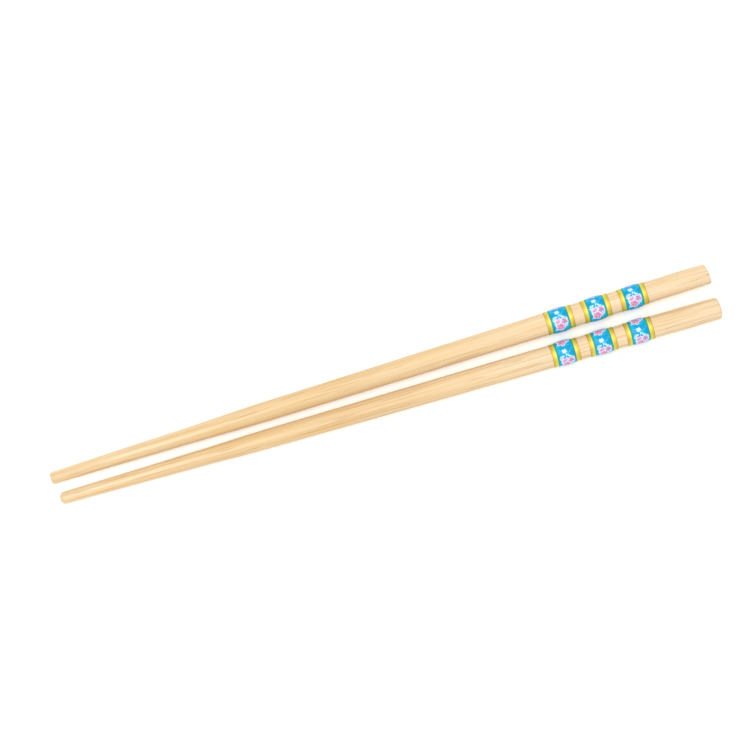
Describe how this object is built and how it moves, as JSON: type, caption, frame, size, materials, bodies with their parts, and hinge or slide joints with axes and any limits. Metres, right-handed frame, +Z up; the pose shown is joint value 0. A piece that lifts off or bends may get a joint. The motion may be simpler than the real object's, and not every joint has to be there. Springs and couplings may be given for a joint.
{
  "type": "pair of chopsticks",
  "caption": "Pair of round turned bamboo chopsticks with long tapered tips and barrel beads near the handle, each bead wrapped in a printed flower band, for picking up food.",
  "frame": {"origin": "bottom centre of the bounding box, on the surface that the pair lies on", "axes": "+X along the pair towards the handle ends, +Y towards the rear stick, +Z up"},
  "size_m": [0.241, 0.0207, 0.0092],
  "materials": {
    "bamboo": "fine sanded bamboo under a thin clear food-safe oil, satin",
    "printed_film": "printed metallised film, glossy: turquoise field with pink and white blossoms and gold edges"
  },
  "bodies": {
    "root": {"rear_stick": "bamboo", "rear_band_1": "printed_film", "rear_band_2": "printed_film", "rear_band_3": "printed_film", "front_stick": "bamboo", "front_band_1": "printed_film", "front_band_2": "printed_film", "front_band_3": "printed_film"}
  },
  "joints": []
}
